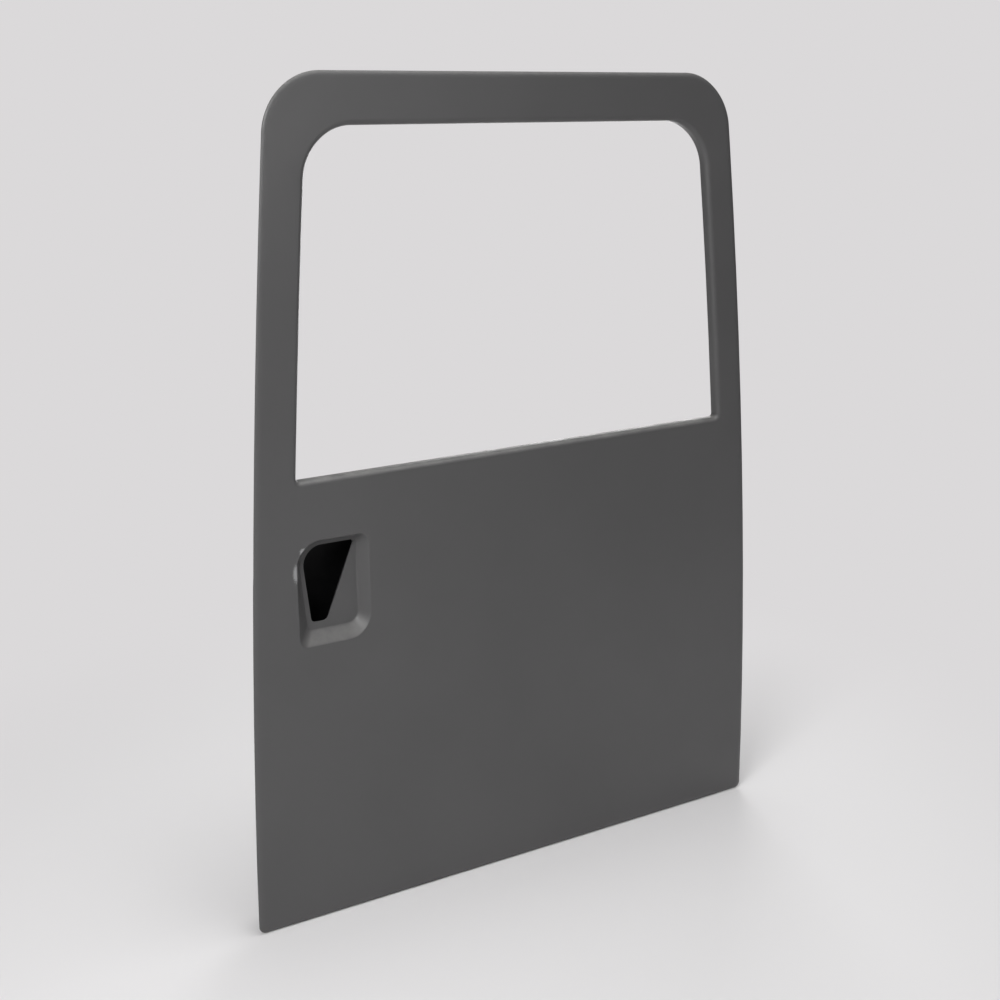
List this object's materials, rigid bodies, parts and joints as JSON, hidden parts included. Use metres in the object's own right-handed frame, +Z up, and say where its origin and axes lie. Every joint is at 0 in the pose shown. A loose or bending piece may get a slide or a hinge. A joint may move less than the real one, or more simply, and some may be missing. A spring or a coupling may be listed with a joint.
{
  "type": "car door shell",
  "caption": "Bare right-hand door shell of a tall upright cab: crowned skin with round-cornered window frame and handle pocket, hemmed over a deep-drawn inner panel.",
  "frame": {"origin": "centre of the upper hinge seat's face on the shut wall, at the front edge of the door", "axes": "+X out of the hinge seats, forward in the vehicle; +Y into the cab, across the thin way; +Z up along the door's height"},
  "size_m": [1, 0.067, 1.33],
  "materials": {
    "grey_primer": "satin dark grey primer",
    "galvanised_sheet": "galvanised",
    "plain_steel": "plain",
    "black_mastic": "matt"
  },
  "bodies": {
    "root": {"outer_skin": "grey_primer", "inner_panel": "grey_primer", "outer_belt_rail": "grey_primer", "inner_belt_rail": "grey_primer", "skin_stiffener": "grey_primer", "handle_brace": "grey_primer", "pull_handle_bracket": "grey_primer", "upper_hinge_reinforcement": "grey_primer", "lower_hinge_reinforcement": "grey_primer", "upper_plate_cage": "grey_primer", "lower_plate_cage": "grey_primer", "latch_reinforcement": "grey_primer", "check_link_reinforcement": "grey_primer", "guide_bracket_front": "grey_primer", "guide_bracket_rear": "grey_primer", "stiffener_bracket_front": "grey_primer", "stiffener_bracket_rear": "grey_primer", "glass_run_channel": "galvanised_sheet", "glass_guide_front": "galvanised_sheet", "glass_guide_rear": "galvanised_sheet", "upper_tapping_plate": "plain_steel", "lower_tapping_plate": "plain_steel", "mastic_pad_1": "black_mastic", "mastic_pad_2": "black_mastic", "mastic_pad_3": "black_mastic", "mastic_pad_4": "black_mastic", "mastic_pad_5": "black_mastic", "mastic_pad_6": "black_mastic"}
  },
  "joints": []
}
